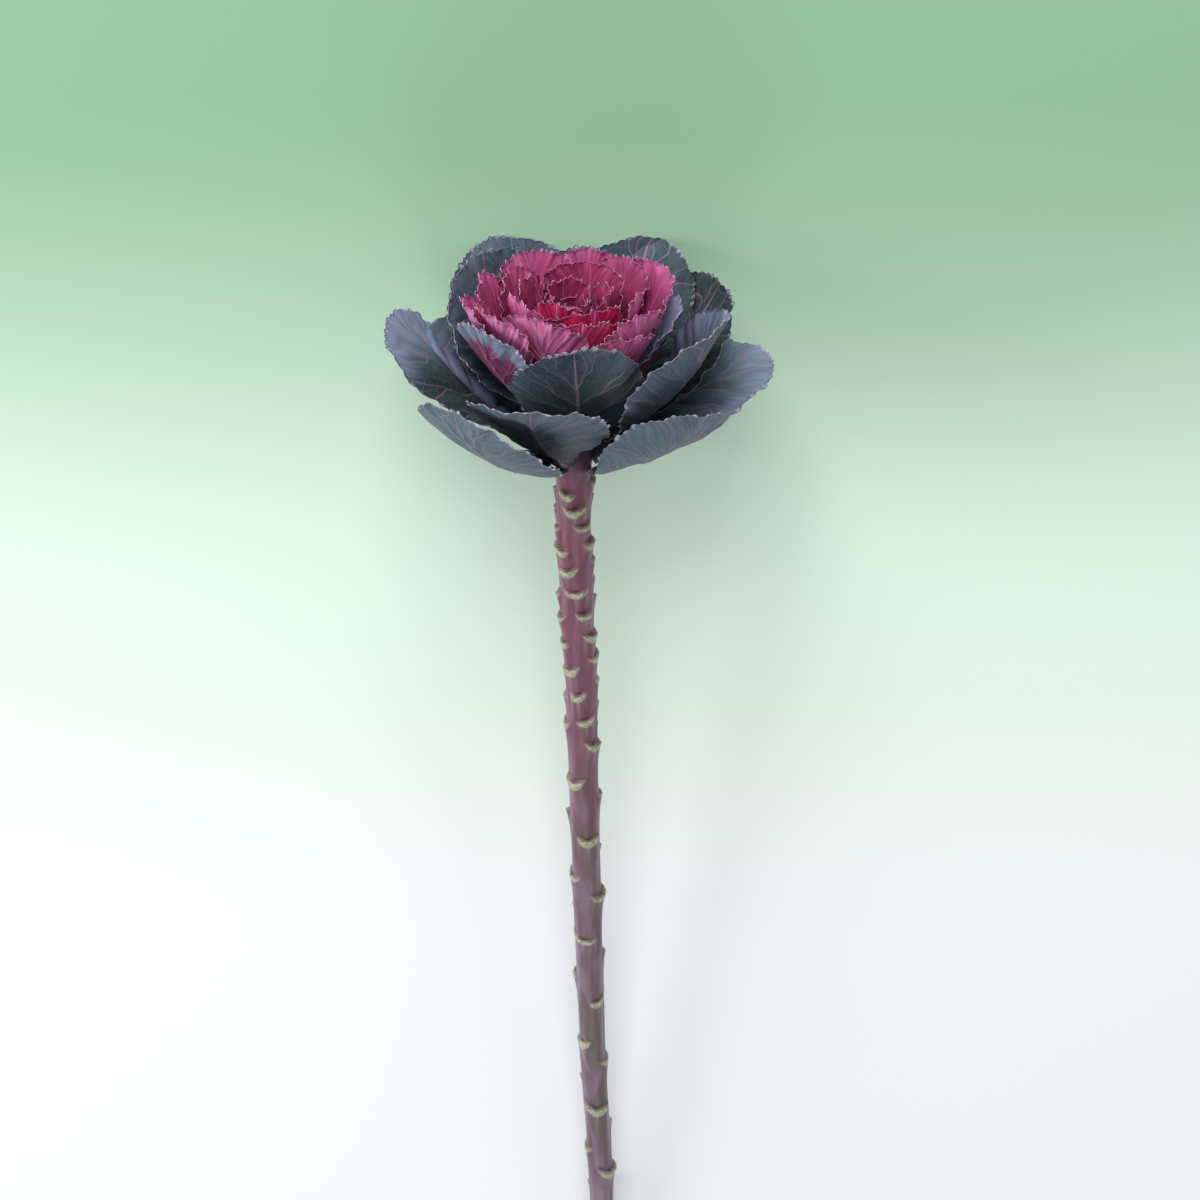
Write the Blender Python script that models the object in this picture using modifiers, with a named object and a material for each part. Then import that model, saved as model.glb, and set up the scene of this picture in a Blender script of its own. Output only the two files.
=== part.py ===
"""Ornamental kale, cut with a long stem and laid on its side.

Lengths are metres and angles are degrees. The plant is worked out upright, in its own frame: Z runs
up the stem, X to the right of the head as it is looked at, Y away from the viewer, and the origin is
where the lowest leaves leave the stem. Azimuths turn from X towards Y. It is then laid down with its
back on the surface, so that the head lies at +Y and the cut end at -Y.
"""
import math
from collections import namedtuple

import bmesh
import bpy
import numpy as np
from mathutils import Vector
from mathutils.bvhtree import BVHTree

OBJECT_NAME = "ornamental_kale"

# Stem
STEM_LENGTH = 0.515
STEM_CUT_RADIUS = 0.0060
STEM_TOP_RADIUS = 0.0073
STEM_SWAY = 0.013
STEM_WOBBLE = 0.0012
STEM_WOBBLE_RATE = 9.0
STEM_STRAIGHT = 0.020
STEM_RINGS = 16
CROWN_TOP = 0.0182
SCAR_COUNT = 44
SCAR_TURN = 137.5
SCAR_TOP = -0.008
SCAR_SPAN = 0.485
SCAR_CROWDING = 0.55
SCAR_HEIGHT = 0.0016
SCAR_FOOT_RADIUS = 0.0042
SCAR_FACE_RADIUS = 0.0026
SCAR_FLATNESS = 0.62
SCAR_SINK = 0.55

# How the plant lies
LEAN = 5.9
PRESS_HEIGHT = 0.0022
PLACE_X = -0.0017
PLACE_Y = 0.2123

# Blades
BLADE_THICKNESS = 0.0008
PETIOLE_SHARE = 0.14
VEIN_SLANT = 0.8
TOOTHED_SHARE = 0.9
CLEARANCE = 0.0019
REACH = 0.012
BACK_REACH = 0.003
SIDE_REACH = 0.005
ROOT_RADIUS = 0.0080

Shape = namedtuple("Shape", "rows columns widest tooth wave waves")
GREEN_SHAPE = Shape(32, 3, 0.58, 0.015, 0.0015, 2.5)
HEART_SHAPE = Shape(16, 2, 0.78, 0.025, 0.0014, 2.5)
TWO_TONE_SHAPE = Shape(16, 2, 0.60, 0.020, 0.0010, 2.0)

# Heart
CORE_BASE = 0.0185
CORE_TOP = 0.0600
CORE_RADIUS = 0.0075
HEART_ROOT_RADIUS = 0.0050
HEART_BOW = 16.0

Leaf = namedtuple("Leaf", "name azimuth length half_width rise_root rise_tip cup twist twist_more bend root_z")
# Green leaves, from the innermost to the outermost
GREEN_LEAVES = (
    Leaf("leaf_front", 276, 0.077, 0.029, 33, 79, 0.75, -6, 4, -6, 0.0165),
    Leaf("leaf_back", 84, 0.075, 0.030, 46, 71, 0.60, 2, 0, -3, 0.0160),
    Leaf("leaf_left_back", 137, 0.083, 0.036, 32, 84, 0.75, 4, -8, 3, 0.0150),
    Leaf("leaf_right_upper", 338, 0.088, 0.036, 26, 71, 0.90, -2, 5, 2, 0.0140),
    Leaf("leaf_left_upper", 163, 0.078, 0.032, 23, 60, 0.20, 3, 26, -5, 0.0130),
    Leaf("leaf_back_right", 62, 0.094, 0.033, 32, 58, 0.45, 2, -3, 2, 0.0100),
    Leaf("leaf_back_left", 118, 0.095, 0.035, 33, 58, 0.50, -3, -10, -10, 0.0080),
    Leaf("leaf_right_back", 36, 0.091, 0.033, 28, 60, 0.65, -5, 4, -12, 0.0060),
    Leaf("leaf_left", 169, 0.0900, 0.0350, 29, 42, -0.28, 13, -2, -27, 0.0050),
    Leaf("leaf_right", 7, 0.087, 0.035, 36, 20, 0.02, 9, -13, 9, 0.0035),
    Leaf("leaf_front_left", 245, 0.091, 0.030, 43, 42, 0.60, 7, 1, 22, 0.0035),
    Leaf("leaf_low_left", 227, 0.088, 0.033, 14, 64, 0.50, 3, 1, 6, 0.0010),
    Leaf("leaf_low_right", 323, 0.075, 0.036, 18, 52, 1.00, -3, -3, 14, 0.0000),
)
# Leaves that are half green and half magenta, grown on the outside of the heart
TWO_TONE_LEAVES = (
    Leaf("two_tone_left", 212, 0.069, 0.025, 39, 70, 0.50, 1, 6, -8, 0.0200),
    Leaf("two_tone_right", 8, 0.068, 0.023, 45, 64, 0.80, -7, 1, -14, 0.0200),
    Leaf("plum_right", 343, 0.054, 0.020, 39, 78, 0.40, 17, -8, 9, 0.0200),
)
HeartLeaf = namedtuple("HeartLeaf", "azimuth tip_radius tip_z half_width root_z")
# Magenta leaves, from the outer ring to the middle
HEART_LEAVES = (
    HeartLeaf(190, 0.0445, 0.079, 0.018, 0.024),
    HeartLeaf(80, 0.0400, 0.082, 0.016, 0.024),
    HeartLeaf(303, 0.0420, 0.077, 0.017, 0.025),
    HeartLeaf(20, 0.0410, 0.084, 0.026, 0.025),
    HeartLeaf(164, 0.0400, 0.083, 0.013, 0.025),
    HeartLeaf(318, 0.0385, 0.082, 0.018, 0.026),
    HeartLeaf(122, 0.0365, 0.084, 0.019, 0.026),
    HeartLeaf(210, 0.0395, 0.081, 0.020, 0.027),
    HeartLeaf(48, 0.0350, 0.084, 0.015, 0.027),
    HeartLeaf(247, 0.0345, 0.083, 0.019, 0.028),
    HeartLeaf(278, 0.0340, 0.083, 0.017, 0.028),
    HeartLeaf(150, 0.0300, 0.084, 0.014, 0.029),
    HeartLeaf(340, 0.0290, 0.083, 0.012, 0.030),
    HeartLeaf(222, 0.0270, 0.084, 0.018, 0.031),
    HeartLeaf(293, 0.0240, 0.083, 0.016, 0.033),
    HeartLeaf(70, 0.0230, 0.084, 0.021, 0.033),
    HeartLeaf(160, 0.0210, 0.084, 0.009, 0.034),
    HeartLeaf(250, 0.0170, 0.083, 0.012, 0.036),
    HeartLeaf(0, 0.0150, 0.083, 0.011, 0.037),
    HeartLeaf(110, 0.0110, 0.082, 0.013, 0.038),
    HeartLeaf(200, 0.0090, 0.079, 0.008, 0.040),
    HeartLeaf(320, 0.0070, 0.078, 0.007, 0.042),
    HeartLeaf(70, 0.0045, 0.077, 0.006, 0.044),
    HeartLeaf(230, 0.0030, 0.075, 0.005, 0.045),
)


def clear_scene():
    """Remove what the scene holds."""
    for item in list(bpy.data.objects):
        bpy.data.objects.remove(item, do_unlink=True)


def make_collection(name):
    """A collection in the scene."""
    group = bpy.data.collections.new(name)
    bpy.context.scene.collection.children.link(group)
    return group


def make_material(name, colour, roughness):
    """A plain Principled material; plant tissue is never metallic."""
    material = bpy.data.materials.new(name)
    material.use_nodes = True
    shader = material.node_tree.nodes["Principled BSDF"]
    shader.inputs["Base Color"].default_value = (*colour, 1.0)
    shader.inputs["Roughness"].default_value = roughness
    shader.inputs["Metallic"].default_value = 0.0
    material.diffuse_color = (*colour, 1.0)
    return material


def make_object(name, bm, group, material=None):
    """Turn a bmesh into an object of the group."""
    mesh = bpy.data.meshes.new(name)
    bm.to_mesh(mesh)
    bm.free()
    item = bpy.data.objects.new(name, mesh)
    group.objects.link(item)
    if material is not None:
        mesh.materials.append(material)
    return item


def blade_outline(t, rho, widest):
    """Where a blade's grid point lies on the flat leaf, as shares of half width and length.

    t runs along the margin, from the foot of one side (-1) over the tip (0) to the foot of the other
    (1). rho runs along a side vein, from the midrib (0) to the margin (1). The upper part of the
    margin is a quarter ellipse and the lower part narrows smoothly to the petiole.
    """
    share = abs(t)
    if share < 0.5:
        angle = share * math.pi
        margin_x = math.sin(angle)
        margin_y = widest + (1.0 - widest) * math.cos(angle)
    else:
        fall = (share - 0.5) / 0.5
        margin_x = 1.0 + (PETIOLE_SHARE - 1.0) * fall * fall * (3.0 - 2.0 * fall)
        margin_y = widest * (1.0 - fall)
    foot_y = VEIN_SLANT * (1.0 - share)
    across = math.copysign(rho * margin_x, t)
    along = foot_y + rho * (margin_y - foot_y)
    return across, along


def midrib_points(leaf, root_radius, steps=60):
    """Points and frames along the midrib: its rise turns evenly from root to tip, with a side bend."""
    azimuth = math.radians(leaf.azimuth)
    outward = np.array([math.cos(azimuth), math.sin(azimuth), 0.0])
    sideways = np.array([-math.sin(azimuth), math.cos(azimuth), 0.0])
    upward = np.array([0.0, 0.0, 1.0])
    along = np.linspace(0.0, 1.05, steps + 1)[:, None]
    rise = np.radians(leaf.rise_root + (leaf.rise_tip - leaf.rise_root) * along)
    bend = np.radians(leaf.bend * along)
    twist = np.radians(leaf.twist + leaf.twist_more * along)
    ahead = np.cos(rise) * outward + np.sin(rise) * upward
    tangent = np.cos(bend) * ahead + np.sin(bend) * sideways
    lateral = np.cos(bend) * sideways - np.sin(bend) * ahead
    inner = np.cross(tangent, lateral)
    step = (tangent[1:] + tangent[:-1]) * 0.5 * (along[1] - along[0]) * leaf.length
    start = outward * root_radius + upward * leaf.root_z
    line = start + np.vstack([np.zeros(3), np.cumsum(step, axis=0)])
    across = lateral * np.cos(twist) + inner * np.sin(twist)
    inward = inner * np.cos(twist) - lateral * np.sin(twist)
    return along[:, 0], line, across, inward


def blade_mesh(leaf, root_radius, shape, phase):
    """The middle surface of a blade: a grid that is bent over its midrib, cupped, waved and toothed."""
    bm = bmesh.new()
    bmesh.ops.create_grid(bm, x_segments=shape.rows, y_segments=shape.columns, size=1.0)
    steps, line, across_dir, inward_dir = midrib_points(leaf, root_radius)

    def read(table, value):
        return np.array([np.interp(value, steps, table[:, axis]) for axis in range(3)])

    for vertex in bm.verts:
        t = vertex.co.x
        rho = (vertex.co.y + 1.0) * 0.5
        row = round((t + 1.0) * 0.5 * shape.rows)
        across, along = blade_outline(t, rho, shape.widest)
        if abs(t) < TOOTHED_SHARE and vertex.co.y > 0.99:
            scale = 1.0 + (shape.tooth if row % 2 else -shape.tooth)
            across *= scale
            if along > shape.widest:
                along *= scale
        curl = leaf.cup * (0.6 + 0.4 * along)
        if abs(curl) < 1e-4:
            curl = 1e-4
        aside = math.sin(curl * across) / curl * leaf.half_width
        lift = (1.0 - math.cos(curl * across)) / curl * leaf.half_width
        lift += shape.wave * rho ** 2.5 * math.sin(shape.waves * math.pi * t + phase)
        point = read(line, along) + read(across_dir, along) * aside + read(inward_dir, along) * lift
        vertex.co = Vector(point)
    bmesh.ops.remove_doubles(bm, verts=bm.verts, dist=0.00001)
    bmesh.ops.triangulate(bm, faces=bm.faces, quad_method="BEAUTY")
    return bm


def press_clear(bm, inner_blades, passes=8):
    """Bend a blade outwards wherever it would cut a blade that grows inside it.

    Its own points are moved off the inner blades, and where an inner blade's point would stand
    through one of its faces, the corners of that face are moved.
    """
    for _ in range(passes):
        moves = {vertex: Vector() for vertex in bm.verts}

        def add_move(vertex, push):
            if push.length > moves[vertex].length:
                moves[vertex] = push

        for vertex in bm.verts:
            for tree, _ in inner_blades:
                spot, normal, _, _ = tree.find_nearest(vertex.co, REACH)
                push = clear_push(vertex.co, spot, normal, 1.0)
                if push is not None:
                    add_move(vertex, push)
        bm.normal_update()
        bm.faces.ensure_lookup_table()
        own = BVHTree.FromBMesh(bm)
        for _, points in inner_blades:
            for point in points:
                spot, normal, index, _ = own.find_nearest(point, BACK_REACH)
                push = clear_push(point, spot, normal, -1.0)
                if push is not None:
                    for vertex in bm.faces[index].verts:
                        add_move(vertex, push)
        for vertex in bm.verts:
            near = [edge.other_vert(vertex) for edge in vertex.link_edges]
            shared = sum((moves[other] for other in near), Vector()) / len(near) * 0.6
            vertex.co += moves[vertex] if moves[vertex].length >= shared.length else shared
            leave_stem(vertex)


def leave_stem(vertex):
    """Move a point that was bent into the stem back out to where the leaves start."""
    radius = vertex.co.xy.length
    if vertex.co.z < CROWN_TOP + CLEARANCE and radius < ROOT_RADIUS:
        vertex.co.xy *= ROOT_RADIUS / radius


def clear_push(point, spot, normal, side):
    """How far to move along the outward normal to leave the clearance, or None if it is there."""
    if spot is None:
        return None
    apart = point - spot
    depth = apart.dot(normal)
    aside = (apart - depth * normal).length
    if aside > SIDE_REACH or side * depth >= CLEARANCE:
        return None
    return normal * (CLEARANCE - side * depth)


def blade_record(bm):
    """A placed blade as what the next ones are kept clear of: its surface and its points."""
    bm.normal_update()
    return BVHTree.FromBMesh(bm), [vertex.co.copy() for vertex in bm.verts]


def lay_down(point, lift=0.0):
    """Turn a point of the upright plant to where it lies, head at +Y and back down."""
    lean = math.radians(LEAN)
    x, y, z = point
    return Vector((
        x + PLACE_X,
        y * math.sin(lean) + z * math.cos(lean) + PLACE_Y,
        z * math.sin(lean) - y * math.cos(lean) + lift,
    ))


def thicken(item, thickness):
    """Give a blade its thickness, half to each side, and keep the result."""
    shell = item.modifiers.new("thickness", "SOLIDIFY")
    shell.thickness = thickness
    shell.offset = 0.0
    shell.use_even_offset = False
    apply_modifiers(item)


def apply_modifiers(item):
    """Replace an object's mesh by what its modifiers make of it."""
    graph = bpy.context.evaluated_depsgraph_get()
    mesh = bpy.data.meshes.new_from_object(item.evaluated_get(graph))
    item.modifiers.clear()
    item.data = mesh


def place_blade(name, bm, group, lift, material=None):
    """Lay a blade down, press what would sink onto the surface, and thicken it."""
    half = BLADE_THICKNESS * 0.5
    for vertex in bm.verts:
        vertex.co = lay_down(vertex.co, lift)
        if vertex.co.z < half + PRESS_HEIGHT:
            vertex.co.z = half
    item = make_object(name, bm, group, material)
    thicken(item, BLADE_THICKNESS)
    for vertex in item.data.vertices:
        if vertex.co.z < half:
            vertex.co.z = 0.0
    return item


def join_collection(base, group):
    """Union of an object with everything in a collection, whose objects are then removed."""
    union = base.modifiers.new("union", "BOOLEAN")
    union.operation = "UNION"
    union.operand_type = "COLLECTION"
    union.collection = group
    union.solver = "EXACT"
    apply_modifiers(base)
    for item in list(group.objects):
        bpy.data.objects.remove(item, do_unlink=True)
    bpy.data.collections.remove(group)
    keep_outer_body(base)


def keep_outer_body(item):
    """Fill hollows that the union sealed and drop loose scrap: only the largest shell stays."""
    bm = bmesh.new()
    bm.from_mesh(item.data)
    waiting = set(bm.faces)
    shells = []
    while waiting:
        front = [waiting.pop()]
        shell = list(front)
        while front:
            for edge in front.pop().edges:
                for face in edge.link_faces:
                    if face in waiting:
                        waiting.remove(face)
                        front.append(face)
                        shell.append(face)
        shells.append(shell)
    shells.sort(key=len)
    spare = [face for shell in shells[:-1] for face in shell]
    bmesh.ops.delete(bm, geom=spare, context="FACES")
    bm.to_mesh(item.data)
    bm.free()


def stem_centre(z):
    """The stem's centre line: it sways to one side below the head, with a slow wobble."""
    down = max(0.0, -z - STEM_STRAIGHT) / (STEM_LENGTH - STEM_STRAIGHT)
    x = STEM_SWAY * down + STEM_WOBBLE * math.sin(down * STEM_WOBBLE_RATE) * down
    return Vector((x, 0.0, z))


def stem_radius(z):
    """The stem tapers from the head to its cut."""
    share = (z + STEM_LENGTH) / (STEM_LENGTH + CROWN_TOP)
    return STEM_CUT_RADIUS + (STEM_TOP_RADIUS - STEM_CUT_RADIUS) * share


def make_stem(group, material):
    """A round tapered tube with leaf scars in a spiral, closer together near the head."""
    curve = bpy.data.curves.new("stem", "CURVE")
    curve.dimensions = "3D"
    curve.bevel_depth = 1.0
    curve.bevel_resolution = 4
    curve.use_fill_caps = True
    spline = curve.splines.new("POLY")
    spline.points.add(STEM_RINGS - 1)
    for index, point in enumerate(spline.points):
        z = -STEM_LENGTH + (STEM_LENGTH + CROWN_TOP) * index / (STEM_RINGS - 1)
        point.co = (*stem_centre(z), 1.0)
        point.radius = stem_radius(z)
    tube = bpy.data.objects.new("stem_tube", curve)
    group.objects.link(tube)
    graph = bpy.context.evaluated_depsgraph_get()
    graph.update()
    mesh = bpy.data.meshes.new_from_object(tube.evaluated_get(graph))
    bm = bmesh.new()
    bm.from_mesh(mesh)
    bmesh.ops.remove_doubles(bm, verts=bm.verts, dist=0.00001)
    bpy.data.objects.remove(tube, do_unlink=True)
    stem = make_object("stem", bm, group, material)
    scars = make_collection("scars")
    for index in range(SCAR_COUNT):
        share = index / (SCAR_COUNT - 1)
        z = SCAR_TOP - SCAR_SPAN * share * (1.0 - SCAR_CROWDING * (1.0 - share))
        make_scar(index, z, scars)
    join_collection(stem, scars)
    return stem


def make_scar(index, z, group):
    """The stub of a fallen leaf: a low six-sided cone, wider than high, sunk into the stem."""
    bm = bmesh.new()
    bmesh.ops.create_cone(
        bm, cap_ends=True, segments=6, radius1=SCAR_FOOT_RADIUS, radius2=SCAR_FACE_RADIUS,
        depth=SCAR_HEIGHT * 2.0)
    angle = math.radians(index * SCAR_TURN)
    outward = Vector((math.cos(angle), math.sin(angle), 0.0))
    turn = outward.to_track_quat("Z", "Y")
    middle = stem_centre(z) + outward * (stem_radius(z) - SCAR_HEIGHT * SCAR_SINK)
    for vertex in bm.verts:
        spot = turn @ vertex.co
        spot.z *= SCAR_FLATNESS
        vertex.co = middle + spot
    make_object(f"scar_{index}", bm, group)


def make_heart(group, lift, material):
    """The closed rosette: a small core and every magenta and two-coloured leaf, in one body."""
    bm = bmesh.new()
    bmesh.ops.create_cone(
        bm, cap_ends=True, segments=10, radius1=CORE_RADIUS, radius2=CORE_RADIUS * 0.8,
        depth=CORE_TOP - CORE_BASE)
    for vertex in bm.verts:
        vertex.co.z += (CORE_TOP + CORE_BASE) * 0.5
        vertex.co = lay_down(vertex.co, lift)
    heart = make_object("heart", bm, group, material)
    blades = make_collection("heart_leaves")
    placed = []
    for index, row in enumerate(HEART_LEAVES):
        leaf = heart_blade(row)
        bm = blade_mesh(leaf, HEART_ROOT_RADIUS, HEART_SHAPE, index * 1.7)
        placed.append(blade_record(bm))
        place_blade(f"heart_leaf_{index}", bm, blades, lift)
    for index, leaf in enumerate(TWO_TONE_LEAVES):
        bm = blade_mesh(leaf, ROOT_RADIUS - 0.002, TWO_TONE_SHAPE, index * 2.1)
        placed.append(blade_record(bm))
        place_blade(leaf.name, bm, blades, lift)
    join_collection(heart, blades)
    return placed


def heart_blade(row):
    """A magenta leaf as a leaf that bows outwards on its way from its root to its tip."""
    out = row.tip_radius - HEART_ROOT_RADIUS
    up = row.tip_z - row.root_z
    chord = math.hypot(out, up)
    slope = math.degrees(math.atan2(up, out))
    length = chord * math.radians(HEART_BOW) / math.sin(math.radians(HEART_BOW))
    cup = min(1.1, max(0.45, row.half_width / row.tip_radius))
    return Leaf("heart", row.azimuth, length, row.half_width, slope - HEART_BOW, slope + HEART_BOW,
                cup, 0.0, 0.0, 0.0, row.root_z)


def main():
    """Build the stem, the heart and then the green leaves from the inside out."""
    clear_scene()
    group = make_collection(OBJECT_NAME)
    stem_skin = make_material("stem skin", (0.22, 0.12, 0.14), 0.55)
    heart_skin = make_material("magenta leaf", (0.42, 0.04, 0.14), 0.5)
    green_skin = make_material("blue green leaf", (0.05, 0.09, 0.09), 0.5)

    stem = make_stem(group, stem_skin)
    lift = -min(lay_down(vertex.co).z for vertex in stem.data.vertices)
    for vertex in stem.data.vertices:
        vertex.co = lay_down(vertex.co, lift)
    placed = make_heart(group, lift, heart_skin)
    for index, leaf in enumerate(GREEN_LEAVES):
        bm = blade_mesh(leaf, ROOT_RADIUS, GREEN_SHAPE, index * 1.3)
        press_clear(bm, placed)
        placed.append(blade_record(bm))
        place_blade(leaf.name, bm, group, lift, green_skin)


main()
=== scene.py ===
"""The finished look of a cut ornamental kale that lies on its side.

Lengths are metres and angles are degrees. Every leaf is worked out on the upright plant, whose Z runs
up the stem, X to the right of the head and Y away from the viewer, with the origin where the lowest
leaves leave the stem. Azimuths turn from X towards Y. The plant is then laid down on its back, with
its head at +Y.
"""
import math
from collections import namedtuple
from functools import partial

import bpy
import numpy as np
from bpy.props import FloatProperty, FloatVectorProperty
from mathutils import Matrix, Vector


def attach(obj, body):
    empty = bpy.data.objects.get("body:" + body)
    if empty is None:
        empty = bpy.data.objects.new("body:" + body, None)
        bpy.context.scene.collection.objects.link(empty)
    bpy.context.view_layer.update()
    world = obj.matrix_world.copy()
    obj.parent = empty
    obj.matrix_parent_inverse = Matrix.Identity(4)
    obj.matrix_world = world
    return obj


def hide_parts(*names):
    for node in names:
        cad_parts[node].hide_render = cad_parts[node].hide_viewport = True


bl_info = {
    "name": "Ornamental Kale",
    "version": (1, 0, 0),
    "blender": (4, 5, 0),
    "location": "3D View > Sidebar > Kale",
    "description": "Builds the leaves, heart and scarred stem of a cut ornamental kale",
    "category": "Add Mesh",
}

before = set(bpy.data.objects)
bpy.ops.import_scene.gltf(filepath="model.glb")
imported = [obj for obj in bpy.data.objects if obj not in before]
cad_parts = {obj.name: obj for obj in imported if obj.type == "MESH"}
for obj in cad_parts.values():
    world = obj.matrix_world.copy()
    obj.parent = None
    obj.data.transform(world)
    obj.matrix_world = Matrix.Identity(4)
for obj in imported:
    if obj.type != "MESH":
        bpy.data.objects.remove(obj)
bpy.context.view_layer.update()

MM = 0.001

# How the plant lies
STEM_LENGTH = 0.515
STEM_CUT_RADIUS = 0.0060
STEM_TOP_RADIUS = 0.0073
LEAN = math.radians(5.9)
PLACE_X = -0.0017
PLACE_Y = 0.2123
LIFT = STEM_LENGTH * math.sin(LEAN) + STEM_CUT_RADIUS * math.cos(LEAN)
PRESS_HEIGHT = 0.0022

# Stem
STEM_SWAY = 0.013
STEM_WOBBLE = 0.0012
STEM_WOBBLE_RATE = 9.0
STEM_STRAIGHT = 0.020
CROWN_TOP = 0.0182
SCAR_COUNT = 44
SCAR_TURN = 137.5
SCAR_TOP = -0.008
SCAR_SPAN = 0.485
SCAR_CROWDING = 0.55
EXTRA_SCARS_END = 0.42
STEM_COLUMNS = 72
STEM_ROW = 0.0006

# Blades
PETIOLE_SHARE = 0.14
VEIN_SLANT = 0.8
ROOT_RADIUS = 0.0080
TWO_TONE_ROOT_RADIUS = ROOT_RADIUS - 0.002
HEART_ROOT_LEAST = 0.0012
HEART_ROOT_SHARE = 0.095
HEART_BOW = 16.0
CORE_TOP = 0.0560
CLEARANCE = 0.0019
HEART_CLEARANCE = 0.0010
REACH = 0.012
HEART_REACH = 0.003
SIDE_REACH = 0.004
COARSE_ROWS = 49
COARSE_COLUMNS = 8
FORK_START = 0.40
FORK_SPREAD = 0.42

# A kind of leaf: rows and columns of its fine grid, widest point, curl at the foot, long waves, teeth,
# ruffles, side veins to a half, how far veins and the swelling between them stand out, and their sway
Form = namedtuple("Form", "rows columns widest foot_curl wave waves tooth_gap tooth_shape ruffle "
                          "ruffle_length veins vein_relief pillow sway")
GREEN_FORM = Form(361, 27, 0.58, 0.6, 0.0015, 2.5, 0.0036, 1.7, 0.0007, 0.019, 6.0, 0.00022, 0.0007, 1.0)
TWO_TONE_FORM = Form(281, 19, 0.60, 0.6, 0.001, 2.0, 0.0028, 1.4, 0.0006, 0.014, 8.0, 0.0002, 0.00045, 0.6)
HEART_FORM = Form(221, 13, 0.84, 1.8, 0.0014, 2.5, 0.0022, 1.0, 0.0008, 0.009, 11.0, 0.00022, 0.0003, 0.3)

Leaf = namedtuple("Leaf", "name azimuth length half_width rise_root rise_tip cup twist twist_more bend "
                          "root_z")
# Green leaves, from the innermost to the outermost
GREEN_LEAVES = tuple(Leaf(*row) for row in (
    ("leaf_front", 276, 0.077, 0.029, 33, 79, 0.75, -6, 4, -6, 0.0165),
    ("leaf_back", 84, 0.075, 0.030, 46, 71, 0.60, 2, 0, -3, 0.0160),
    ("leaf_left_back", 137, 0.083, 0.036, 32, 84, 0.75, 4, -8, 3, 0.0150),
    ("leaf_right_upper", 338, 0.088, 0.036, 26, 71, 0.90, -2, 5, 2, 0.0140),
    ("leaf_back_right", 62, 0.094, 0.033, 32, 58, 0.45, 2, -3, 2, 0.0100),
    ("leaf_back_left", 118, 0.095, 0.035, 33, 58, 0.50, -3, -10, -10, 0.0080),
    ("leaf_right_back", 36, 0.091, 0.033, 28, 60, 0.65, -5, 4, -12, 0.0060),
    ("leaf_left", 169, 0.090, 0.035, 29, 42, -0.28, 13, -2, -27, 0.0050),
    ("leaf_left_upper", 150, 0.0755, 0.027, 36, 56, 0.20, -12, -6, 3, 0.0060),
    ("leaf_right", 7, 0.087, 0.035, 36, 20, 0.02, 9, -13, 9, 0.0035),
    ("leaf_front_left", 245, 0.091, 0.030, 43, 42, 0.60, 7, 1, 22, 0.0035),
    ("leaf_low_left", 227, 0.088, 0.033, 14, 64, 0.50, 3, 1, 6, 0.0010),
    ("leaf_low_right", 323, 0.075, 0.036, 18, 52, 1.00, -3, -3, 14, 0.0000),
))
# Shares of violet bloom and pale wax on the upper and the under face, of purple at the foot with painted
# shade, and how much greener the half of the upper face is that lies on the low side (-1 to 1): that half
# is partly painted shade, and the other half takes full bloom and wax, partly as painted sheen. Some
# shares are raised on faces that lie in shade and lowered on faces that catch much light, as painted light.
Tint = namedtuple("Tint", "bloom_upper bloom_under wax_upper wax_under flush greener")
GREEN_TINTS = {
    "leaf_front": Tint(0.25, 0.10, 0.10, 0.05, 1.0, 0.0),
    "leaf_back": Tint(0.30, 0.20, 0.35, 0.30, 0.5, 0.0),
    "leaf_left_back": Tint(0.10, 0.20, 0.45, 0.30, 0.3, 0.0),
    "leaf_right_upper": Tint(0.60, 0.20, 0.40, 0.12, 0.8, 0.0),
    "leaf_left_upper": Tint(0.25, 0.20, 0.20, 0.30, 0.4, 0.0),
    "leaf_back_right": Tint(0.10, 0.20, 0.05, 0.40, 0.3, 0.0),
    "leaf_back_left": Tint(0.20, 0.20, 0.25, 0.40, 0.4, 0.0),
    "leaf_right_back": Tint(0.05, 0.20, 0.00, 0.40, 0.3, 0.0),
    "leaf_left": Tint(1.00, 0.30, 1.00, 0.40, 0.2, 1.0),
    "leaf_right": Tint(0.60, 0.30, 0.90, 0.40, 0.2, 0.0),
    "leaf_front_left": Tint(0.20, 0.12, 0.20, 0.28, 0.5, 0.0),
    "leaf_low_left": Tint(0.20, 0.05, 0.20, 0.30, 0.2, 0.0),
    "leaf_low_right": Tint(0.45, 0.12, 0.20, 0.45, 0.2, 0.0),
}
# Leaves that are half green and half magenta, grown on the outside of the heart
TWO_TONE_LEAVES = tuple(Leaf(*row) for row in (
    ("two_tone_left", 212, 0.069, 0.025, 39, 70, 0.50, 1, 6, -8, 0.0200),
    ("two_tone_right", 8, 0.068, 0.023, 45, 64, 0.80, -7, 1, -14, 0.0200),
    ("plum_right", 343, 0.054, 0.020, 39, 78, 0.40, 17, -8, 9, 0.0200),
))
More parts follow.
